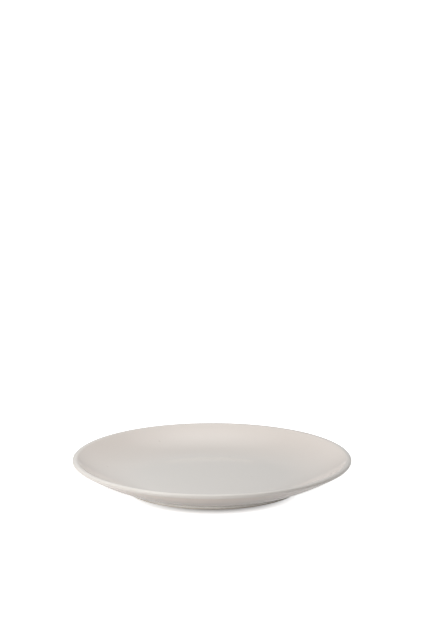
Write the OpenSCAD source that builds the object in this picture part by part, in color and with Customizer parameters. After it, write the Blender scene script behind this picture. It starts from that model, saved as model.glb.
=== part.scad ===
// Coupe dinner plate: a rimless round stoneware plate with a flat well, a wall that
// sweeps up to a rounded lip, a low foot ring, and coats of glaze on the clay.
// Millimetres. +Z is up, and the origin is the centre of the foot ring on the table.
// Every piece is a profile in the half plane (radius, height) turned about Z.

/* [Plate] */
// Diameter over the lip
plate_d = 270; // [240:1:310]
// Height from the table to the top of the lip
plate_h = 27.8; // [20:0.1:36]
// Thickness of the floor under the well, glaze included
base_t = 6.2; // [4:0.1:8]

/* [Lip] */
// Width of the lip, whose section is an ellipse
lip_w = 6.6; // [4.5:0.1:9]
// Height of the lip
lip_h = 4.4; // [3:0.1:6]

/* [Wall] */
// Degrees by which the underside is steeper at the lip than the line from foot to lip
flank_bow = 5; // [2:0.5:14]
// Degrees by which the eating face is steeper at the lip than the underside
wall_flare = 4; // [-3:0.5:6]

/* [Foot ring] */
// Outer diameter of the foot ring
foot_d = 172; // [150:1:205]
// Height at which the underside meets the outer wall of the foot ring
foot_h = 2.6; // [1.6:0.1:5]
// Width of the foot ring
foot_w = 7; // [4:0.1:12]
// Depth of the recess inside the foot ring
recess_h = 2.4; // [1.2:0.1:4]
// Rounding of the two lower edges of the foot ring
foot_edge_r = 0.5; // [0.2:0.05:1]
// Rounding of the hollow corners on both sides of the foot ring
foot_cove_r = 0.8; // [0.3:0.05:2]

/* [Glaze] */
// Thickness of each coat of glaze
glaze_t = 0.35; // [0.2:0.05:0.8]
// Height of the bare clay that shows on the foot ring above the table
bare_h = 0.9; // [0.5:0.05:1.1]

/* [Hidden] */
$fn = 240;

clay_colour = [0.85, 0.80, 0.73];
glaze_colour = [0.87, 0.85, 0.83];

// Straight steps in each round stretch of the profile
lip_steps = 8;
wall_steps = 18;
flank_steps = 12;
edge_steps = 6;

// Most of a short wall that a rounding may take up
rounding_share = 0.9;

// Lip: an ellipse that reaches the plate's full diameter and height
lip_a = lip_w / 2;
lip_b = lip_h / 2;
lip_c = [plate_d / 2 - lip_a, plate_h - lip_b];

// Underside: one arc that runs smoothly into the lip and ends on top of the foot ring
foot_r = foot_d / 2;
foot_top = [foot_r, foot_h];
flank_slope = direction(foot_top, lip_c) + flank_bow;
flank_a = flank_slope - 90;
flank_end = lip_point(flank_a, 0);
flank_chord = foot_top - flank_end;
flank_r = -(flank_chord * flank_chord) / (2 * flank_chord * facing(flank_a));
flank_c = flank_end - flank_r * facing(flank_a);

// Eating face: one arc that leaves the flat well level and runs smoothly into the lip
well_z = recess_h + base_t;
wall_slope = flank_slope + wall_flare;
wall_a = wall_slope - 90;
wall_end = lip_point(wall_a + 180, 0);
wall_r = (wall_end.y - well_z) / (1 - cos(wall_slope));
wall_c = wall_end - wall_r * facing(wall_a);
well_r = wall_c.x;

// Foot ring: the hollow corner outside it, tangent to the underside and to its outer
// wall, and the hollow corner inside it, under the floor
foot_in_r = foot_r - foot_w;
edge_r = min(foot_edge_r, rounding_share * bare_h);
outer_cove_r = min(foot_cove_r, rounding_share * (foot_h - bare_h));
outer_cove_x = foot_r + outer_cove_r;
outer_cove_drop = sqrt((flank_r + outer_cove_r) ^ 2 - (outer_cove_x - flank_c.x) ^ 2);
outer_cove_c = [outer_cove_x, flank_c.y - outer_cove_drop];
outer_cove_a = direction(outer_cove_c, flank_c);
inner_cove_r = min(foot_cove_r, rounding_share * (recess_h - bare_h));
inner_cove_c = [foot_in_r - inner_cove_r, recess_h - inner_cove_r];

// Unit vector at an angle, and the angle of the line from one point to another
function facing(a) = [cos(a), sin(a)];
function direction(from, to) = atan2(to.y - from.y, to.x - from.x);

// Point of the lip whose surface faces an angle, set back by a depth
function lip_point(a, depth) =
    let (reach = norm([lip_a * cos(a), lip_b * sin(a)]))
    lip_c + [lip_a ^ 2 * cos(a), lip_b ^ 2 * sin(a)] / reach - depth * facing(a);

// Stretches of the profile leave out their first point, which the one before ends on
function lip_line(a0, a1, depth) =
    [for (i = [1 : lip_steps]) lip_point(a0 + (a1 - a0) * i / lip_steps, depth)];
function arc(c, r, a0, a1, steps) =
    [for (i = [1 : steps]) c + r * facing(a0 + (a1 - a0) * i / steps)];

function reverse(points) = [for (i = [len(points) - 1 : -1 : 0]) points[i]];

// Eating face from the axis to the outermost line of the lip, set back by a depth
function face_line(depth) = concat(
    [[0, well_z - depth], [well_r, well_z - depth]],
    arc(wall_c, wall_r + depth, -90, wall_a, wall_steps),
    lip_line(wall_a + 180, 90, depth),
    lip_line(90, 0, depth));

// Underside from the outermost line of the lip to the edge of the glaze on the foot
function back_line(depth) = concat(
    [lip_point(0, depth)],
    lip_line(0, flank_a, depth),
    arc(flank_c, flank_r - depth, flank_a, outer_cove_a - 180, flank_steps),
    arc(outer_cove_c, outer_cove_r + depth, outer_cove_a, 180, edge_steps),
    [[foot_r - depth, bare_h]]);

// Bare foot: round outer edge, flat foot face, round inner edge
function foot_line() = concat(
    [[foot_r - glaze_t, edge_r]],
    arc([foot_r - glaze_t - edge_r, edge_r], edge_r, 0, -90, edge_steps),
    [[foot_in_r + glaze_t + edge_r, 0]],
    arc([foot_in_r + glaze_t + edge_r, edge_r], edge_r, -90, -180, edge_steps));

// Recess from the edge of the glaze on the foot's inner wall to the axis
function base_line(depth) = concat(
    [[foot_in_r + depth, bare_h], [foot_in_r + depth, inner_cove_c.y]],
    arc(inner_cove_c, inner_cove_r + depth, 0, 90, edge_steps),
    [[0, recess_h + depth]]);

// A coat of glaze fills the space between a line and the same line set back
module coat(outer, inner) {
    color(glaze_colour)
        rotate_extrude()
            polygon(concat(outer, reverse(inner)));
}

module clay_body() {
    back = back_line(glaze_t);
    color(clay_colour)
        rotate_extrude()
            polygon(concat(
                face_line(glaze_t),
                [for (i = [1 : len(back) - 1]) back[i]],
                foot_line(),
                base_line(glaze_t)));
}

module face_glaze() {
    coat(face_line(0), face_line(glaze_t));
}

module back_glaze() {
    coat(back_line(0), back_line(glaze_t));
}

module base_glaze() {
    coat(base_line(0), base_line(glaze_t));
}

clay_body();
face_glaze();
back_glaze();
base_glaze();
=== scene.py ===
"""Looks of the coupe dinner plate: glossy off-white glaze on pale stoneware, on a white floor."""

import math

import bpy
import numpy as np
from mathutils import Matrix, Vector, noise


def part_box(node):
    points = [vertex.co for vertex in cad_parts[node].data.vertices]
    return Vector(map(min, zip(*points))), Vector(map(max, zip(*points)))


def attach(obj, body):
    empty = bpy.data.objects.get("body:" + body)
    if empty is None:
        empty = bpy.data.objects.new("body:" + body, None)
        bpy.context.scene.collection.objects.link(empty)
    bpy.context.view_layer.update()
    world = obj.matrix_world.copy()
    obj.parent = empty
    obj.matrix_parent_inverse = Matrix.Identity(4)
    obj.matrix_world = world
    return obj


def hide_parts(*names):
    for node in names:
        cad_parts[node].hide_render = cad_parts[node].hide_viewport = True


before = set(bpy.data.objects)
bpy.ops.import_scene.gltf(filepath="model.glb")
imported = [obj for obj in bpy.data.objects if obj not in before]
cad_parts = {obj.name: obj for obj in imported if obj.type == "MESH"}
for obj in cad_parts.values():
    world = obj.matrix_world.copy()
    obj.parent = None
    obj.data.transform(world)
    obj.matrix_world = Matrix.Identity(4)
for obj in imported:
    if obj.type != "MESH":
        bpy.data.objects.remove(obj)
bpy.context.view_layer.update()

MM = 0.001

# Sizes that the solids' boxes give, in metres
_, clay_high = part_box("clay_body")
face_low, face_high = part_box("face_glaze")
back_low, back_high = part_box("back_glaze")
_, base_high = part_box("base_glaze")
PLATE_R = face_high.x
PLATE_H = face_high.z
GLAZE_T = PLATE_H - clay_high.z
WELL_Z = face_low.z + GLAZE_T
LIP_Z = back_high.z
BARE_H = back_low.z
FOOT_IN_R = base_high.x - GLAZE_T
RECESS_H = base_high.z - GLAZE_T

# Driving dimensions of the solids that their boxes don't give
LIP_W = 6.6 * MM
FLANK_BOW = math.radians(5)
WALL_FLARE = math.radians(4)
FOOT_R = 86 * MM
FOOT_H = 2.6 * MM
FOOT_EDGE_R = 0.5 * MM
FOOT_COVE_R = 0.8 * MM

# Finish of the fired plate: a slow waviness, and a rolled, uneven lower edge of the glaze
WAVE_H = 0.06 * MM
WAVE_L = 42 * MM
WAVE_FULL_Z = 7 * MM
ROLL_H = 0.4 * MM
EDGE_WOBBLE = 0.14 * MM
EDGE_WOBBLE_L = 14 * MM

# Fineness of the meshes
SEGMENTS = 288
WELL_STEPS = 20
WALL_STEPS = 32
LIP_STEPS = 22
FLANK_STEPS = 26
COVE_STEPS = 8
SHARP_ANGLE = math.radians(40)

# Colours, linear
WHITE = (1, 1, 1, 1)
GLAZE_PLAIN = (0.72, 0.69, 0.652, 1)
GLAZE_WARM = (0.75, 0.69, 0.64, 1)
# Painted shade: the underside's glaze, darker and warmer than the face's because it faces down
GLAZE_UNDER_PAINTED_SHADE = (0.61, 0.535, 0.475, 1)
# Painted shade: the outer edge of the lip, darker than the glaze beside it
GLAZE_EDGE_PAINTED_SHADE = (0.63, 0.59, 0.55, 1)
# Painted light: the glaze around the foot ring, paler to lift the shade in the hollow corner
GLAZE_FOOT_PAINTED_LIGHT = (0.9, 0.86, 0.815, 1)
SPECK_COLOUR = (0.42, 0.37, 0.31, 1)
CLAY_PALE = (0.74, 0.68, 0.60, 1)
CLAY_BUFF = (0.67, 0.60, 0.51, 1)
CLAY_GRAIN = (0.48, 0.41, 0.33, 1)
FLOOR_COLOUR = (0.8, 0.8, 0.8, 1)

# Bands of the glaze: radius and colour. It is warmer on the wall. The darker edge of the lip
# and the darker underside are painted shade, and the paler band around the foot ring is
# painted light that lifts the shade in the hollow corner there
# Painted light around the foot ring: how far out it is full, and where it has faded out
PAINTED_LIGHT_W = 4 * MM
PAINTED_LIGHT_END_W = 10 * MM
FACE_BANDS = (
    (0.5 * PLATE_R, GLAZE_PLAIN),
    (0.88 * PLATE_R, GLAZE_WARM),
    (0.955 * PLATE_R, GLAZE_WARM),
    (0.98 * PLATE_R, GLAZE_PLAIN),
    (0.99 * PLATE_R, GLAZE_PLAIN),
    (PLATE_R, GLAZE_EDGE_PAINTED_SHADE),
)
# Underside: painted light around the foot ring, painted shade beyond it and at the lip's edge
BACK_BANDS = (
    (FOOT_R + PAINTED_LIGHT_W, GLAZE_FOOT_PAINTED_LIGHT),
    (FOOT_R + PAINTED_LIGHT_END_W, GLAZE_UNDER_PAINTED_SHADE),
    (0.975 * PLATE_R, GLAZE_UNDER_PAINTED_SHADE),
    (0.99 * PLATE_R, GLAZE_EDGE_PAINTED_SHADE),
)
BASE_BANDS = (
    (0.8 * FOOT_IN_R, GLAZE_PLAIN),
    (FOOT_IN_R, GLAZE_WARM),
)

# Specks in the glaze: x, y, radius and strength
FACE_SPECKS = (
    (-101 * MM, 21 * MM, 1.4 * MM, 0.35),
    (-51 * MM, 101 * MM, 1.4 * MM, 0.3),
    (-63 * MM, -78 * MM, 1.2 * MM, 0.35),
    (17 * MM, 78 * MM, 1.2 * MM, 0.25),
    (52 * MM, 40 * MM, 1.2 * MM, 0.25),
    (38 * MM, 4 * MM, 1.2 * MM, 0.3),
)
BACK_SPECKS = (
    (-104 * MM, -37 * MM, 1.3 * MM, 0.35),
    (58 * MM, 95 * MM, 1.2 * MM, 0.3),
)
BASE_SPECKS = (
    (31 * MM, 44 * MM, 1.3 * MM, 0.35),
    (-52 * MM, -12 * MM, 1.2 * MM, 0.3),
)

# The range that holds nearly all values of a noise texture
NOISE_LOW = 0.3
NOISE_HIGH = 0.7

# Texture of the glaze: clouds of the warm colour, an uneven gloss and a faint ripple
CLOUD_L = 30 * MM
CLOUD_DETAIL = 3
CLOUD_SHARE = 0.05
GLOSS_L = 18 * MM
GLOSS_DETAIL = 2
GLOSS_SMOOTHEST = 0.06
GLOSS_ROUGHEST = 0.1
RIPPLE_L = 3 * MM
RIPPLE_DETAIL = 1
RIPPLE_H = 0.002 * MM
GLAZE_IOR = 1.5

# Texture of the bare clay: patches of two colours, and sand with dark grains in it
PATCH_L = 9 * MM
PATCH_DETAIL = 4
SAND_L = 0.7 * MM
SAND_DETAIL = 2
SAND_H = 0.06 * MM
SAND_SMOOTHEST = 0.75
SAND_ROUGHEST = 0.95
GRAIN_FROM = 0.62
GRAIN_FULL = 0.72
GRAIN_SHARE = 0.45
CLAY_IOR = 1.45

# Floor, open under the foot ring, and its glow: none in the plate's shadow, most of the
# white beside it, and all of it further out, where the lamps no longer reach. In
# reflections the shadow is wider and paler
FLOOR_R = 40.0
FLOOR_HOLE_INSET = 1.2 * MM
FLOOR_SIDES = 96
FLOOR_GAP = 0.05 * MM
SHADOW_CENTRE = (1 * MM, -22.5 * MM, 0)
SHADOW_R = 62 * MM
SHADOW_END_R = 82 * MM
SHADOW_GLOW = 0.0
MIRRORED_END_R = 195 * MM
MIRRORED_GLOW = 0.38
LAMPLIT_R = 0.25
LAMPLIT_END_R = 1.0
LAMPLIT_GLOW = 0.92

# Surroundings: where the canopy is brightest, its brightness by degrees from there, and
# the heights of a direction between which the white at the horizon fades out
CANOPY_AZIMUTH = 80
CANOPY_ELEVATION = 70
CANOPY = (
    (0, 2.1),
    (14, 1.27),
    (26, 0.48),
    (38, 0.52),
    (46, 0.6),
    (54, 0.56),
    (75, 0.28),
    (105, 0.22),
    (180, 0.15),
)
WHITE_TO = 0.02
WHITE_END = 0.08

# Camera: the photograph's frame, where the plate's centre on the table falls in it, and
# the scale there
IMAGE_W = 421
IMAGE_H = 631
PLATE_PIXEL = (211.95, 486.05)
PIXELS_PER_METRE = 1035.0
VIEW_ELEVATION = math.radians(15.26)
CAMERA_DISTANCE = 12.0
SENSOR_MM = 36.0


def facing(angle):
    """The unit vector at an angle, as radius and height."""
    return np.array((math.cos(angle), math.sin(angle)))


def direction(start, end):
    """The angle of the line from one point to another."""
    return math.atan2(end[1] - start[1], end[0] - start[0])


# Lip: an ellipse that reaches the plate's full radius and height
LIP_A = LIP_W / 2
LIP_B = PLATE_H - LIP_Z
LIP_C = np.array((PLATE_R - LIP_A, LIP_Z))


def lip_point(angle, depth):
    """The point of the lip whose surface faces an angle, set back by a depth."""
    across = LIP_A * math.cos(angle)
    up = LIP_B * math.sin(angle)
    outward = np.array((LIP_A * across, LIP_B * up)) / math.hypot(across, up)
    return LIP_C + outward - depth * facing(angle)


# Underside: one arc from the lip to the top of the foot ring
FOOT_TOP = np.array((FOOT_R, FOOT_H))
FLANK_SLOPE = direction(FOOT_TOP, LIP_C) + FLANK_BOW
FLANK_A = FLANK_SLOPE - math.pi / 2
FLANK_END = lip_point(FLANK_A, 0)
FLANK_CHORD = FOOT_TOP - FLANK_END
FLANK_ARC_R = -FLANK_CHORD.dot(FLANK_CHORD) / (2 * FLANK_CHORD.dot(facing(FLANK_A)))
FLANK_C = FLANK_END - FLANK_ARC_R * facing(FLANK_A)

# Eating face: one arc from the flat well to the lip
WALL_SLOPE = FLANK_SLOPE + WALL_FLARE
WALL_A = WALL_SLOPE - math.pi / 2
WALL_END = lip_point(WALL_A + math.pi, 0)
WALL_ARC_R = (WALL_END[1] - WELL_Z) / (1 - math.cos(WALL_SLOPE))
WALL_C = WALL_END - WALL_ARC_R * facing(WALL_A)
WELL_R = WALL_C[0]

# Foot ring: the hollow corners outside and inside it
OUTER_COVE_X = FOOT_R + FOOT_COVE_R
OUTER_COVE_DROP = math.sqrt((FLANK_ARC_R + FOOT_COVE_R) ** 2 - (OUTER_COVE_X - FLANK_C[0]) ** 2)
OUTER_COVE_C = np.array((OUTER_COVE_X, FLANK_C[1] - OUTER_COVE_DROP))
OUTER_COVE_A = direction(OUTER_COVE_C, FLANK_C)
INNER_COVE_C = np.array((FOOT_IN_R - FOOT_COVE_R, RECESS_H - FOOT_COVE_R))


# Stretches of an outline leave out their first point, which the stretch before ends on
def spread(start, stop, steps):
    """Even steps from one value to another, without the first value."""
    return np.linspace(start, stop, steps + 1)[1:]


def arc(centre, radius, start, stop, steps):
    """Points of an arc from one angle to another."""
    return [centre + radius * facing(angle) for angle in spread(start, stop, steps)]


def lip(start, stop, depth):
    """Points of the lip from one angle to another, set back by a depth."""
    return [lip_point(angle, depth) for angle in spread(start, stop, LIP_STEPS)]


def straight(start, stop, steps):
    """Points of a straight line from one point to another."""
    start = np.array(start)
    return [start + (np.array(stop) - start) * share for share in spread(0, 1, steps)]


def roll(wall_r, edge_r, height):
    """The rolled lower edge of a coat, from the surface of the glaze to the bare clay."""
    across = edge_r - wall_r
    return [
        np.array((edge_r - across * math.cos(angle), BARE_H + height * (1 - math.sin(angle))))
        for angle in spread(0, math.pi / 2, COVE_STEPS)
    ]


def face_line(depth):
    """Eating face from the axis to the outermost line of the lip, set back by a depth."""
    level = WELL_Z - depth
    return [
        np.array((0, level)),
        *straight((0, level), (WELL_R, level), WELL_STEPS),
        *arc(WALL_C, WALL_ARC_R + depth, -math.pi / 2, WALL_A, WALL_STEPS),
        *lip(WALL_A + math.pi, math.pi / 2, depth),
        *lip(math.pi / 2, 0, depth),
    ]


def back_line(depth):
    """Underside from the outermost line of the lip to the outer wall of the foot ring, set
    back by a depth."""
    return [
        lip_point(0, depth),
        *lip(0, FLANK_A, depth),
        *arc(FLANK_C, FLANK_ARC_R - depth, FLANK_A, OUTER_COVE_A - math.pi, FLANK_STEPS),
        *arc(OUTER_COVE_C, FOOT_COVE_R + depth, OUTER_COVE_A, math.pi, COVE_STEPS),
        np.array((FOOT_R - depth, BARE_H + ROLL_H)),
    ]


def foot_line():
    """Bare foot: round outer edge, flat foot face, round inner edge."""
    outer_x = FOOT_R - GLAZE_T
    inner_x = FOOT_IN_R + GLAZE_T
    outer_c = np.array((outer_x - FOOT_EDGE_R, FOOT_EDGE_R))
    inner_c = np.array((inner_x + FOOT_EDGE_R, FOOT_EDGE_R))
    return [
        np.array((outer_x, FOOT_EDGE_R)),
        *arc(outer_c, FOOT_EDGE_R, 0, -math.pi / 2, COVE_STEPS),
        *straight((outer_c[0], 0), (inner_c[0], 0), COVE_STEPS),
        *arc(inner_c, FOOT_EDGE_R, -math.pi / 2, -math.pi, COVE_STEPS),
    ]


def base_line(depth):
    """Recess from the inner wall of the foot ring to the axis, set back by a depth."""
    level = RECESS_H + depth
    return [
        np.array((FOOT_IN_R + depth, INNER_COVE_C[1])),
        *arc(INNER_COVE_C, FOOT_COVE_R + depth, 0, math.pi / 2, COVE_STEPS),
        *straight((INNER_COVE_C[0], level), (0, level), WELL_STEPS),
    ]


def waviness(point):
    """How far the slow waviness lifts a point. The foot ring stays flat."""
    share = min(max((point.z - FOOT_H) / (WAVE_FULL_Z - FOOT_H), 0), 1)
    return WAVE_H * share * noise.noise(Vector((point.x, point.y, 0)) / WAVE_L)


def edge_wobble(point):
    """How far the lower edge of the glaze wanders up or down at a point on the foot ring."""
    share = min(max((BARE_H + 2 * ROLL_H - point.z) / ROLL_H, 0), 1)
    return EDGE_WOBBLE * share * noise.noise(point / EDGE_WOBBLE_L)


def turned(name, outline, is_loop, lifts):
    """An object turned about Z from points of radius and height. An open outline starts and
    ends on the axis. Each function in lifts moves the points up or down."""
    rings = [[] for _ in outline]
    points = []
    for ring, (radius, height) in zip(rings, outline):
        count = SEGMENTS if radius > 0 else 1
        for step in range(count):
            turn = 2 * math.pi * step / SEGMENTS
            ring.append(len(points))
            points.append(Vector((radius * math.cos(turn), radius * math.sin(turn), height)))
    for point in points:
        point.z += sum(lift(point) for lift in lifts)
    faces = []
    following = rings[1:] + rings[:1] if is_loop else rings[1:]
    for ring, after in zip(rings, following):
        for step in range(SEGMENTS):
            ahead = (step + 1) % SEGMENTS
            corners = [
                ring[step % len(ring)],
                ring[ahead % len(ring)],
                after[ahead % len(after)],
                after[step % len(after)],
            ]
            faces.append(list(dict.fromkeys(corners)))
    mesh = bpy.data.meshes.new(name)
    mesh.from_pydata(points, [], faces)
    mesh.validate()
    mesh.shade_smooth()
    mesh.set_sharp_from_angle(angle=SHARP_ANGLE)
    made = bpy.data.objects.new(name, mesh)
    bpy.context.scene.collection.objects.link(made)
    return made


def shader_node(tree, kind, inputs, **settings):
    """A new node. An input is a value, or the output of another node."""
    made = tree.nodes.new("ShaderNode" + kind)
    for name, value in settings.items():
        setattr(made, name, value)
    for socket, value in inputs.items():
        if isinstance(value, bpy.types.NodeSocket):
            tree.links.new(value, made.inputs[socket])
        else:
            made.inputs[socket].default_value = value
    return made


def new_material(name):
    """An empty node material and its tree."""
    made = bpy.data.materials.new(name)
    made.use_nodes = True
    made.node_tree.nodes.clear()
    return made, made.node_tree


def cloud(tree, place, size, detail):
    """Noise whose features have a size in metres, from 0 to 1."""
    inputs = {"Vector": place, "Scale": 1 / size, "Detail": detail}
    return shader_node(tree, "TexNoise", inputs).outputs["Fac"]


def remap(tree, value, low, high, to_low, to_high):
    """A value carried from one range to another, and kept within it."""
    inputs = {
        "Value": value,
        "From Min": low,
        "From Max": high,
        "To Min": to_low,
        "To Max": to_high,
    }
    return shader_node(tree, "MapRange", inputs).outputs["Result"]


def mixed(tree, share, first, second):
    """Two colours mixed by a share. Inputs 6 and 7 and output 2 are those for colours."""
    inputs = {0: share, 6: first, 7: second}
    return shader_node(tree, "Mix", inputs, data_type="RGBA").outputs[2]


def ramp(tree, value, stops):
    """The colour at a value from 0 to 1, between stops of value and colour."""
    made = shader_node(tree, "ValToRGB", {0: value})
    elements = made.color_ramp.elements
    while len(elements) < len(stops):
        elements.new(1)
    for element, (position, colour) in zip(elements, sorted(stops)):
        element.position = position
        element.color = colour
    return made.outputs["Color"]


def combined(tree, operation, first, second):
    """Two numbers combined by an operation, such as ADD."""
    return shader_node(tree, "Math", {0: first, 1: second}, operation=operation).outputs[0]


def vector_math(tree, operation, first, second):
    """The outputs of an operation on two vectors."""
    return shader_node(tree, "VectorMath", {0: first, 1: second}, operation=operation).outputs


def end_material(tree, colour, roughness, height, height_full, ior):
    """Ends a material in a surface with a bump, whose height runs from 0 to a full height."""
    inputs = {"Height": height, "Strength": 1, "Distance": height_full}
    normal = shader_node(tree, "Bump", inputs).outputs["Normal"]
    inputs = {"Base Color": colour, "Roughness": roughness, "Normal": normal, "IOR": ior}
    surface = shader_node(tree, "BsdfPrincipled", inputs).outputs["BSDF"]
    shader_node(tree, "OutputMaterial", {"Surface": surface})


def glaze_material(name, bands, specks):
    """Glossy glaze with bands of radius and colour, faint clouds and a few specks."""
    made, tree = new_material(name)
    place = shader_node(tree, "TexCoord", {}).outputs["Object"]
    flat_place = vector_math(tree, "MULTIPLY", place, (1, 1, 0))["Vector"]
    radius = vector_math(tree, "DISTANCE", flat_place, (0, 0, 0))["Value"]
    stops = [(band_r / PLATE_R, band_colour) for band_r, band_colour in bands]
    colour = ramp(tree, remap(tree, radius, 0, PLATE_R, 0, 1), stops)
    clouds = cloud(tree, place, CLOUD_L, CLOUD_DETAIL)
    cloud_share = remap(tree, clouds, NOISE_LOW, NOISE_HIGH, 0, CLOUD_SHARE)
    colour = mixed(tree, cloud_share, colour, GLAZE_WARM)
    for x, y, size, strength in specks:
        gap = vector_math(tree, "DISTANCE", flat_place, (x, y, 0))["Value"]
        colour = mixed(tree, remap(tree, gap, 0, size, strength, 0), colour, SPECK_COLOUR)
    gloss = cloud(tree, place, GLOSS_L, GLOSS_DETAIL)
    roughness = remap(tree, gloss, NOISE_LOW, NOISE_HIGH, GLOSS_SMOOTHEST, GLOSS_ROUGHEST)
    ripple = cloud(tree, place, RIPPLE_L, RIPPLE_DETAIL)
    end_material(tree, colour, roughness, ripple, RIPPLE_H, GLAZE_IOR)
    return made


def clay_material(name):
    """Bare fired stoneware: matt and sandy, in patches of two colours, with dark grains."""
    made, tree = new_material(name)
    place = shader_node(tree, "TexCoord", {}).outputs["Object"]
    patches = cloud(tree, place, PATCH_L, PATCH_DETAIL)
    patch_share = remap(tree, patches, NOISE_LOW, NOISE_HIGH, 0, 1)
    colour = mixed(tree, patch_share, CLAY_PALE, CLAY_BUFF)
    sand = cloud(tree, place, SAND_L, SAND_DETAIL)
    grain_share = remap(tree, sand, GRAIN_FROM, GRAIN_FULL, 0, GRAIN_SHARE)
    colour = mixed(tree, grain_share, colour, CLAY_GRAIN)
    roughness = remap(tree, sand, NOISE_LOW, NOISE_HIGH, SAND_SMOOTHEST, SAND_ROUGHEST)
    end_material(tree, colour, roughness, sand, SAND_H, CLAY_IOR)
    return made


def floor_material(name):
    """White floor that glows to the eye and in reflections, less so close to the foot ring,
    where the plate's shadow falls. The shadow is wider and paler in reflections, which show
    the floor under the overhang. The floor can be seen through from below."""
    made, tree = new_material(name)
    path = shader_node(tree, "LightPath", {}).outputs
    mirrored = combined(tree, "MAXIMUM", path["Is Glossy Ray"], path["Is Transmission Ray"])
    seen = combined(tree, "MAXIMUM", path["Is Camera Ray"], mirrored)
    place = shader_node(tree, "TexCoord", {}).outputs["Object"]
    away = vector_math(tree, "DISTANCE", place, SHADOW_CENTRE)["Value"]
    shadow_end = remap(tree, mirrored, 0, 1, SHADOW_END_R, MIRRORED_END_R)
    shadow_glow = remap(tree, mirrored, 0, 1, SHADOW_GLOW, MIRRORED_GLOW)
    beside = remap(tree, away, SHADOW_R, shadow_end, shadow_glow, LAMPLIT_GLOW)
    beyond = remap(tree, away, LAMPLIT_R, LAMPLIT_END_R, 0, 1 - LAMPLIT_GLOW)
    strength = combined(tree, "MULTIPLY", seen, combined(tree, "ADD", beside, beyond))
    lit = shader_node(tree, "BsdfDiffuse", {"Color": FLOOR_COLOUR}).outputs["BSDF"]
    glowing = shader_node(tree, "Emission", {"Strength": strength}).outputs["Emission"]
    top = shader_node(tree, "AddShader", {0: lit, 1: glowing}).outputs[0]
    below = shader_node(tree, "NewGeometry", {}).outputs["Backfacing"]
    clear = shader_node(tree, "BsdfTransparent", {}).outputs["BSDF"]
    surface = shader_node(tree, "MixShader", {0: below, 1: top, 2: clear}).outputs[0]
    shader_node(tree, "OutputMaterial", {"Surface": surface})
    return made


def make_floor():
    """A wide round floor just under the foot face, open below the foot ring, where it can't
    be seen from above, so that light reaches the recess in views from below."""
    made = bpy.data.objects.new("floor", bpy.data.meshes.new("floor"))
    points = [
        (radius * math.cos(turn), radius * math.sin(turn), 0)
        for radius in (FOOT_R - FLOOR_HOLE_INSET, FLOOR_R)
        for turn in np.linspace(0, 2 * math.pi, FLOOR_SIDES, endpoint=False)
    ]
    faces = []
    for step in range(FLOOR_SIDES):
        ahead = (step + 1) % FLOOR_SIDES
        faces.append((step, step + FLOOR_SIDES, ahead + FLOOR_SIDES, ahead))
    made.data.from_pydata(points, [], faces)
    made.location.z = -FLOOR_GAP
    bpy.context.scene.collection.objects.link(made)
    made.data.materials.append(floor_material("floor"))


def bearing(azimuth, elevation):
    """The unit vector towards an azimuth, anticlockwise from +X, and an elevation, in degrees."""
    turn = math.radians(azimuth)
    rise = math.radians(elevation)
    level = math.cos(rise)
    return Vector((level * math.cos(turn), level * math.sin(turn), math.sin(rise)))


def make_world():
    """Soft studio surroundings: a canopy that fades with the angle from its brightest point,
    and white at and below the horizon. The ramp runs over the cosine of that angle."""
    world = bpy.data.worlds.new("studio")
    bpy.context.scene.world = world
    world.use_nodes = True
    tree = world.node_tree
    tree.nodes.clear()
    place = shader_node(tree, "TexCoord", {}).outputs["Generated"]
    middle = bearing(CANOPY_AZIMUTH, CANOPY_ELEVATION)
    toward = vector_math(tree, "DOT_PRODUCT", place, middle)["Value"]
    stops = [
        ((1 + math.cos(math.radians(angle))) / 2, (level, level, level, 1))
        for angle, level in CANOPY
    ]
    canopy = ramp(tree, remap(tree, toward, -1, 1, 0, 1), stops)
    height = shader_node(tree, "SeparateXYZ", {0: place}).outputs["Z"]
    white = remap(tree, height, WHITE_TO, WHITE_END, 1, 0)
    strength = combined(tree, "MAXIMUM", canopy, white)
    inputs = {"Color": WHITE, "Strength": strength}
    surface = shader_node(tree, "Background", inputs).outputs["Background"]
    shader_node(tree, "OutputWorld", {"Surface": surface})


def softbox(name, azimuth, elevation, distance, width, height, tilt, watts, mirrored):
    """An area lamp that faces the plate, tilted about its line of sight. Angles are in
    degrees and lengths in metres. It is mirrored in the glaze, or only lights it."""
    data = bpy.data.lights.new(name, "AREA")
    data.shape = "RECTANGLE"
    data.size = width
    data.size_y = height
    data.energy = watts
    lamp = bpy.data.objects.new(name, data)
    away = bearing(azimuth, elevation)
    lamp.location = away * distance
    aimed = away.to_track_quat("Z", "Y").to_matrix() @ Matrix.Rotation(math.radians(tilt), 3, "Z")
    lamp.rotation_euler = aimed.to_euler()
    lamp.visible_camera = False
    lamp.visible_glossy = mirrored
    bpy.context.scene.collection.objects.link(lamp)


def make_lamps():
    """A key lamp whose reflection shows on the wall, and two fills that don't show."""
    softbox(
        "key_softbox", azimuth=222, elevation=44.4, distance=0.7,
        width=0.42, height=0.2, tilt=-15, watts=1.15, mirrored=True,
    )
    softbox(
        "left_fill", azimuth=190, elevation=58, distance=0.42,
        width=0.3, height=0.25, tilt=0, watts=0.36, mirrored=False,
    )
    softbox(
        "front_fill", azimuth=230, elevation=5.5, distance=1.6,
        width=1, height=0.2, tilt=0, watts=8.3, mirrored=False,
    )


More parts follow.
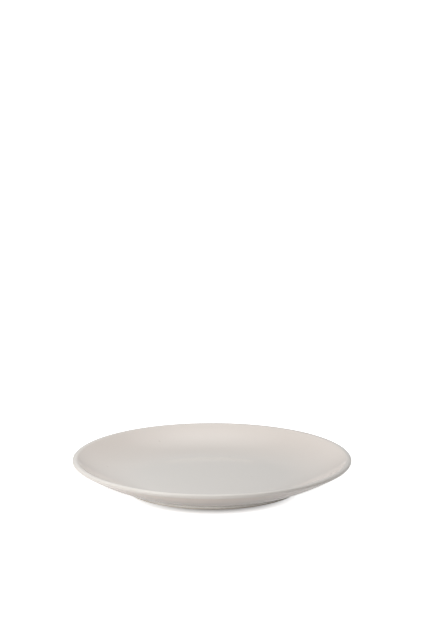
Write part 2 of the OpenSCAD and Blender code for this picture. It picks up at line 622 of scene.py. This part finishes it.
def make_camera():
    """The camera stands on the photograph's line of sight, and the plate falls on its pixel."""
    data = bpy.data.cameras.new("camera")
    data.sensor_width = SENSOR_MM
    data.lens = SENSOR_MM * CAMERA_DISTANCE * PIXELS_PER_METRE / IMAGE_H
    made = bpy.data.objects.new("camera", data)
    sine = math.sin(VIEW_ELEVATION)
    cosine = math.cos(VIEW_ELEVATION)
    made.location = Vector((0, -cosine, sine)) * CAMERA_DISTANCE
    right = Vector((1, 0, 0)) * (IMAGE_W / 2 - PLATE_PIXEL[0]) / PIXELS_PER_METRE
    up = Vector((0, sine, cosine)) * (PLATE_PIXEL[1] - IMAGE_H / 2) / PIXELS_PER_METRE
    aim = right + up - made.location
    made.rotation_euler = aim.to_track_quat("-Z", "Y").to_euler()
    bpy.context.scene.collection.objects.link(made)
    bpy.context.scene.camera = made


def dress(piece, node, material):
    """A piece stands for a solid, moves with the plate and takes a material."""
    piece.data.materials.append(material)
    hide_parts(node)
    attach(piece, "root")


def make_plate():
    """The four pieces of the plate, each in place of its solid."""
    outline = face_line(0) + face_line(GLAZE_T)[::-1]
    piece = turned("face_coat", outline, is_loop=False, lifts=[waviness])
    finish = glaze_material("face_glaze", FACE_BANDS, FACE_SPECKS)
    dress(piece, "face_glaze", finish)

    outer_roll = roll(FOOT_R, FOOT_R - GLAZE_T, ROLL_H)
    outline = back_line(0) + outer_roll + back_line(GLAZE_T)[::-1]
    piece = turned("back_coat", outline, is_loop=True, lifts=[waviness, edge_wobble])
    finish = glaze_material("back_glaze", BACK_BANDS, BACK_SPECKS)
    dress(piece, "back_glaze", finish)

    inner_roll = roll(FOOT_IN_R, FOOT_IN_R + GLAZE_T, INNER_COVE_C[1] - BARE_H)
    outline = base_line(GLAZE_T)[::-1] + inner_roll[::-1] + base_line(0)
    piece = turned("base_coat", outline, is_loop=False, lifts=[edge_wobble])
    finish = glaze_material("base_glaze", BASE_BANDS, BASE_SPECKS)
    dress(piece, "base_glaze", finish)

    outline = face_line(GLAZE_T) + back_line(GLAZE_T)[1:] + foot_line() + base_line(GLAZE_T)
    piece = turned("stoneware_body", outline, is_loop=False, lifts=[waviness])
    dress(piece, "clay_body", clay_material("stoneware"))


make_plate()
make_floor()
make_world()
make_lamps()
make_camera()
bpy.context.scene.view_settings.view_transform = "Standard"
